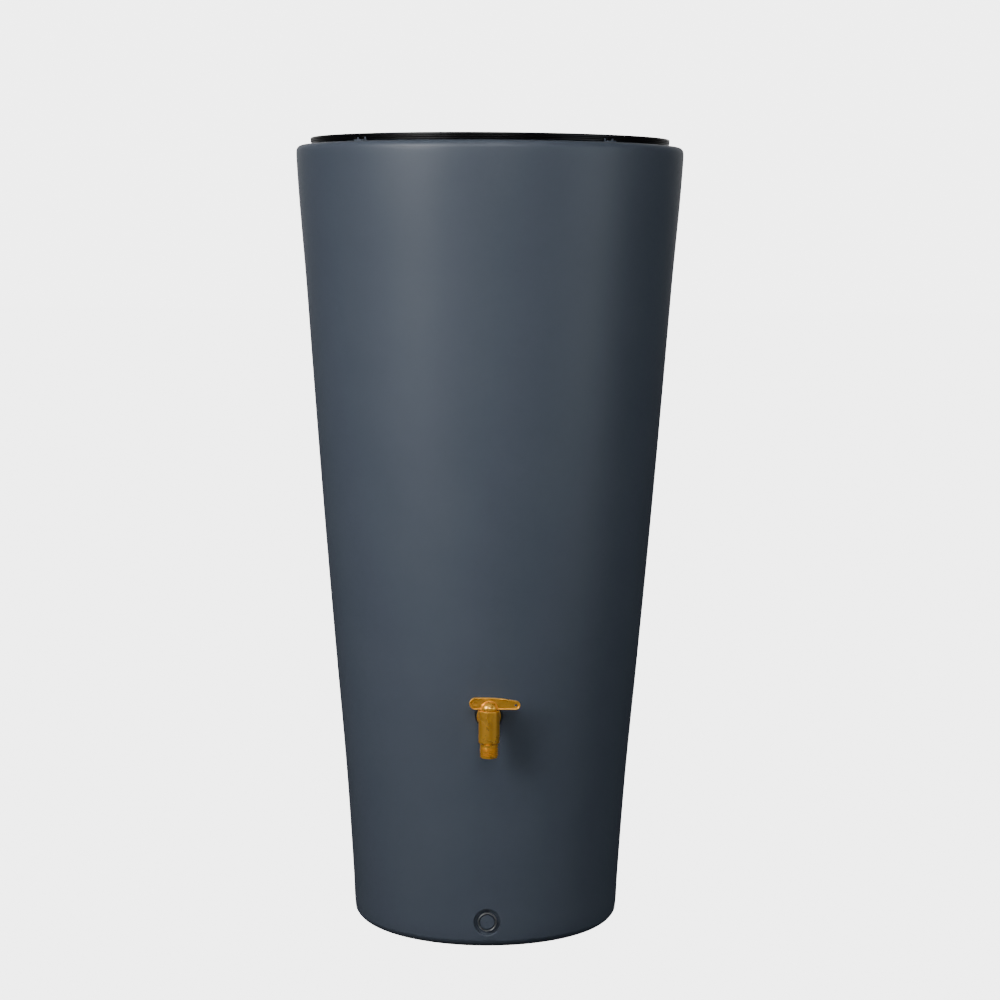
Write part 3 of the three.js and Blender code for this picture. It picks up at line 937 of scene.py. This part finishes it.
def two_tone(material, shader, mask, first, second):
    """Base colour between two tones, by a mask."""
    nodes, links = material.node_tree.nodes, material.node_tree.links
    mix = nodes.new("ShaderNodeMix")
    mix.data_type = "RGBA"
    mix.inputs["A"].default_value = (*first, 1)
    mix.inputs["B"].default_value = (*second, 1)
    links.new(mask, mix.inputs["Factor"])
    links.new(mix.outputs["Result"], shader.inputs["Base Color"])


def graphite_plastic():
    material, shader, effect = surface(
        "graphite polyethylene",
        MOULDED_SKIN,
        {"Pebble Scale": 1300.0, "Pebble": 0.25, "Wave": 4.0, "Low": 0.42, "High": 0.5},
        bump=0.35,
        depth=0.4 * MM,
    )
    two_tone(material, shader, effect.outputs["Cloud"], (0.059, 0.073, 0.099), (0.068, 0.083, 0.109))
    shader.inputs["Specular IOR Level"].default_value = 0.5
    return material


def black_plastic():
    material, shader, effect = surface(
        "black polypropylene",
        MOULDED_SKIN,
        {"Pebble Scale": 2200.0, "Pebble": 0.2, "Wave": 0.5, "Low": 0.26, "High": 0.4},
        bump=0.3,
        depth=0.3 * MM,
    )
    darker, lighter = (0.0012, 0.0012, 0.0016), (0.0024, 0.0024, 0.003)
    two_tone(material, shader, effect.outputs["Cloud"], darker, lighter)
    shader.inputs["Specular IOR Level"].default_value = 0.16
    return material


def tap_metal():
    material, shader, effect = surface(
        "golden brass",
        HANDLED_METAL,
        {"Low": 0.25, "High": 0.32, "Hairlines": 0.25},
        bump=0.03,
        depth=0.1 * MM,
    )
    two_tone(material, shader, effect.outputs["Tarnish"], (0.90, 0.45, 0.05), (0.78, 0.37, 0.04))
    shader.inputs["Metallic"].default_value = 0.68
    return material


def insert_metal():
    material, shader, effect = surface(
        "nickelled steel",
        HANDLED_METAL,
        {"Low": 0.3, "High": 0.42, "Hairlines": 0.3},
        bump=0.08,
        depth=0.2 * MM,
    )
    two_tone(material, shader, effect.outputs["Tarnish"], (0.34, 0.35, 0.36), (0.24, 0.25, 0.26))
    shader.inputs["Metallic"].default_value = 1.0
    return material


def seal_rubber():
    material, shader, effect = surface(
        "black rubber",
        MOULDED_SKIN,
        {"Pebble Scale": 3000.0, "Pebble": 0.4, "Wave": 0.2, "Low": 0.6, "High": 0.75},
        bump=0.4,
        depth=0.2 * MM,
    )
    two_tone(material, shader, effect.outputs["Cloud"], (0.008, 0.008, 0.009), (0.014, 0.014, 0.015))
    return material


def core_plastic():
    material, shader, effect = surface(
        "off-white acetal",
        MOULDED_SKIN,
        {"Pebble Scale": 2600.0, "Pebble": 0.2, "Wave": 0.2, "Low": 0.35, "High": 0.45},
        bump=0.2,
        depth=0.2 * MM,
    )
    two_tone(material, shader, effect.outputs["Cloud"], (0.74, 0.71, 0.63), (0.66, 0.63, 0.55))
    return material


FINISHES = {
    "shell_plastic": graphite_plastic(),
    "bowl_plastic": black_plastic(),
    "tap_brass": tap_metal(),
    "insert_metal": insert_metal(),
    "seal_rubber": seal_rubber(),
    "core_plastic": core_plastic(),
}


# ---- building ----------------------------------------------------------------------------------
def build(piece, body, slot, *nodes):
    return fit_out(piece, body, slot, FINISHES[slot], *nodes)


build(make_shell(), "barrel", "shell_plastic", "barrel_shell")
for number, angle in enumerate(CATCH_ANGLES, 1):
    build(make_catch(number, angle), "barrel", "shell_plastic")
build(make_bowl(), "planter_bowl", "bowl_plastic", "planter_bowl")
for port_name in PORTS:
    build(make_insert(port_name), "barrel", "insert_metal", f"{port_name}_insert")
for port_name in ("drain", "inlet"):
    build(make_plug(port_name), f"{port_name}_plug", "shell_plastic", f"{port_name}_plug")
build(make_tap_body(), "barrel", "tap_brass", "tap_body")
build(make_collar(), "barrel", "tap_brass", "tap_collar")
build(make_gasket(), "barrel", "seal_rubber", "tap_gasket")
build(make_bonnet(), "barrel", "tap_brass", "tap_bonnet")
build(make_handle(), "tap_handle", "tap_brass", "tap_handle")

# The pieces hidden inside the tap and ports keep their CAD shape.
SLOT_OF = {part["node"]: part["material_slot"] for part in frame["record"]["subparts"]}
for node_name, node in frame["nodes"].items():
    if not node.hide_render:
        node.data.materials.clear()
        node.data.materials.append(FINISHES[SLOT_OF[node_name]])


# ---- floor, light and camera -------------------------------------------------------------------
FLOOR_GLOW = 4.6
BACKDROP_GLOW = 4.7


def make_floor():
    """A dull floor that glows white for the camera alone and throws hardly any light upward."""
    work = bmesh.new()
    bmesh.ops.create_grid(work, x_segments=1, y_segments=1, size=30)
    mesh = bpy.data.meshes.new("floor")
    work.to_mesh(mesh)
    work.free()
    floor = add_object("floor", mesh)
    material = bpy.data.materials.new("pale floor")
    material.use_nodes = True
    nodes, links = material.node_tree.nodes, material.node_tree.links
    shader = nodes["Principled BSDF"]
    shader.inputs["Base Color"].default_value = (0.04, 0.04, 0.04, 1)
    shader.inputs["Roughness"].default_value = 0.9
    shader.inputs["Specular IOR Level"].default_value = 0.1
    shader.inputs["Emission Color"].default_value = (1, 1, 1, 1)
    seen = nodes.new("ShaderNodeLightPath").outputs["Is Camera Ray"]
    glow = math_node(nodes, links, "MULTIPLY", seen, FLOOR_GLOW)
    links.new(glow, shader.inputs["Emission Strength"])
    mesh.materials.append(material)
    floor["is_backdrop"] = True


def make_light(
    name, azimuth, distance, height, size, power, aim_height=0.6, spread=180, tint=(1, 1, 1)
):
    """A soft panel aimed at the barrel; azimuth 0 is in front of the tap, positive to its right."""
    data = bpy.data.lights.new(name, "AREA")
    data.shape = "RECTANGLE"
    data.size, data.size_y = size
    data.energy = power
    data.color = tint
    data.spread = math.radians(spread)
    lamp = add_object(name, data)
    turn = math.radians(azimuth)
    lamp.location = (distance * math.sin(turn), -distance * math.cos(turn), height)
    aim = Vector((0, 0, aim_height)) - lamp.location
    lamp.rotation_euler = aim.to_track_quat("-Z", "Y").to_euler()


def make_world():
    """White behind the barrel for the camera, dim surroundings for the light that falls on it."""
    world = bpy.data.worlds.new("studio")
    bpy.context.scene.world = world
    world.use_nodes = True
    nodes, links = world.node_tree.nodes, world.node_tree.links
    sky = nodes["Background"]
    sky.inputs["Color"].default_value = (1, 1, 1, 1)
    direction = nodes.new("ShaderNodeSeparateXYZ")
    links.new(nodes.new("ShaderNodeTexCoord").outputs["Generated"], direction.inputs[0])
    behind = remap(nodes, links, direction.outputs["Y"], 0.72, 1, 0.10, 1.1)
    seen = nodes.new("ShaderNodeLightPath").outputs["Is Camera Ray"]
    strength = nodes.new("ShaderNodeMix")
    links.new(seen, strength.inputs["Factor"])
    links.new(behind, strength.inputs["A"])
    strength.inputs["B"].default_value = BACKDROP_GLOW
    links.new(strength.outputs["Result"], sky.inputs["Strength"])


def make_camera():
    """The fitted view: how far round, how far off, how high, and how it is turned."""
    around = math.radians(-0.8)
    distance, height = 3.6941, 1.0491
    heading, pitch, roll = 0.005 - around, 0.1091, 0.0067
    data = bpy.data.cameras.new("camera")
    data.sensor_width = 36
    data.lens = 87.505
    camera = add_object("camera", data)
    forward = Vector((
        math.sin(heading) * math.cos(pitch),
        math.cos(heading) * math.cos(pitch),
        -math.sin(pitch),
    ))
    right = forward.cross(Vector((0, 0, 1))).normalized()
    up = right.cross(forward)
    level_right = right * math.cos(roll) + up * math.sin(roll)
    level_up = up * math.cos(roll) - right * math.sin(roll)
    turn = Matrix((level_right, level_up, -forward)).transposed().to_4x4()
    where = Vector((distance * math.sin(around), -distance * math.cos(around), height))
    camera.matrix_world = Matrix.Translation(where) @ turn
    bpy.context.scene.camera = camera


make_floor()
make_world()
make_light("key", -44, 3.0, 1.9, (1.3, 1.6), 13, aim_height=0.64, spread=60)
make_light("front", 3, 4.4, 2.6, (1.3, 1.0), 4.5, aim_height=0.7, spread=50)
make_light("fill", 60, 4.0, 1.2, (2.0, 2.0), 32, tint=(0.86, 0.94, 1))
make_light("overhead", 2, 1.6, 3.6, (0.7, 0.4), 11, aim_height=0.5)
make_light("back", 180, 3.2, 2.2, (1.2, 0.8), 13)
make_camera()

boxes = {"cad": cad_box, "visual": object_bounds()}
{name: [list(corner) for corner in box] for name, box in boxes.items()}
